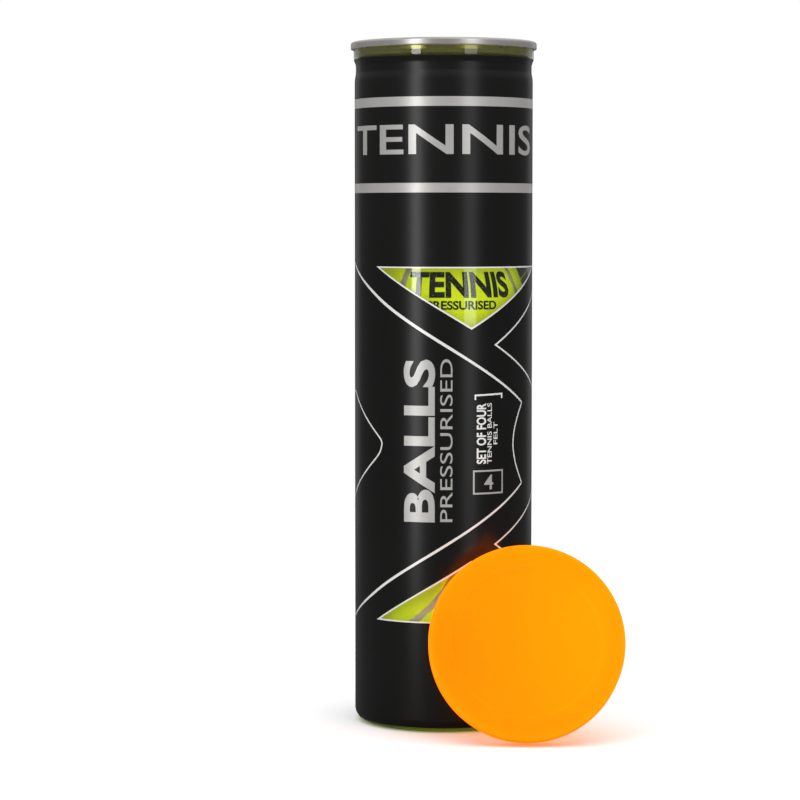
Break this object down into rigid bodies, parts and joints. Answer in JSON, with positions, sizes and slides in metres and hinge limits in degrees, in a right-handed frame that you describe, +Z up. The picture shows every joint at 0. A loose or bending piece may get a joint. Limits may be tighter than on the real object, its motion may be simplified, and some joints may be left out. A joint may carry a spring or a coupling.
{
  "type": "tennis ball can",
  "caption": "Clear tennis ball tube in a printed black sleeve with a seamed metal ring-pull end, felt balls inside and its snap lid leaning beside it.",
  "frame": {"origin": "centre of the can's standing foot, on the surface that it stands on", "axes": "+Z up the can's axis; -Y towards the ring pull's nose and the leaning lid; +X to the side where the lid stands"},
  "size_m": [0.1104, 0.104, 0.2794],
  "materials": {
    "clear_tube": "clear blow-moulded polyester, glossy",
    "printed_film": "printed black shrink film, glossy, with silver lines and clear windows",
    "end_metal": "bright rolled sheet",
    "compound": "cured sealing compound",
    "tab_metal": "bright stamped sheet with curled edges",
    "lid_plastic": "translucent orange moulded plastic, soft gloss",
    "core_rubber": "moulded rubber",
    "felt": "optic yellow napped felt",
    "seam_cement": "off-white vulcanised seam"
  },
  "bodies": {
    "can": {"tube": "clear_tube", "printed_sleeve": "printed_film", "end_ring": "end_metal", "sealing_compound": "compound"},
    "tear_panel": {"tear_panel": "end_metal", "tab_tongue": "tab_metal"},
    "pull_tab": {"pull_tab": "tab_metal"},
    "lid": {"lid": "lid_plastic"},
    "ball_1": {"ball_1_core_lower": "core_rubber", "ball_1_core_upper": "core_rubber", "ball_1_felt_a": "felt", "ball_1_felt_b": "felt", "ball_1_cement": "seam_cement"},
    "ball_2": {"ball_2_core_lower": "core_rubber", "ball_2_core_upper": "core_rubber", "ball_2_felt_a": "felt", "ball_2_felt_b": "felt", "ball_2_cement": "seam_cement"},
    "ball_3": {"ball_3_core_lower": "core_rubber", "ball_3_core_upper": "core_rubber", "ball_3_felt_a": "felt", "ball_3_felt_b": "felt", "ball_3_cement": "seam_cement"},
    "ball_4": {"ball_4_core_lower": "core_rubber", "ball_4_core_upper": "core_rubber", "ball_4_felt_a": "felt", "ball_4_felt_b": "felt", "ball_4_cement": "seam_cement"}
  },
  "joints": [
    {"name": "panel_peel", "type": "hinge", "parent": "can", "child": "tear_panel", "pos_m": [0, 0.0365, 0.2794], "axis": [-1, 0, 0], "range_deg": [0, 110]},
    {"name": "tab_lift", "type": "hinge", "parent": "tear_panel", "child": "pull_tab", "pos_m": [0, -0.03145, 0.2747], "axis": [1, 0, 0], "range_deg": [0, 95]},
    {"name": "lid_away", "type": "slide", "parent": "can", "child": "lid", "axis": [0, -0.9537, 0.3007], "range_m": [0, 0.12]},
    {"name": "ball_1_turn", "type": "hinge", "parent": "can", "child": "ball_1", "pos_m": [0, 0, 0.0383], "axis": [0, 0, 1], "continuous": true},
    {"name": "ball_2_turn", "type": "hinge", "parent": "can", "child": "ball_2", "pos_m": [0, 0, 0.1054], "axis": [0, 0, 1], "continuous": true},
    {"name": "ball_3_turn", "type": "hinge", "parent": "can", "child": "ball_3", "pos_m": [0, 0, 0.1725], "axis": [0, 0, 1], "continuous": true},
    {"name": "ball_4_turn", "type": "hinge", "parent": "can", "child": "ball_4", "pos_m": [0, 0, 0.2396], "axis": [0, 0, 1], "continuous": true}
  ]
}
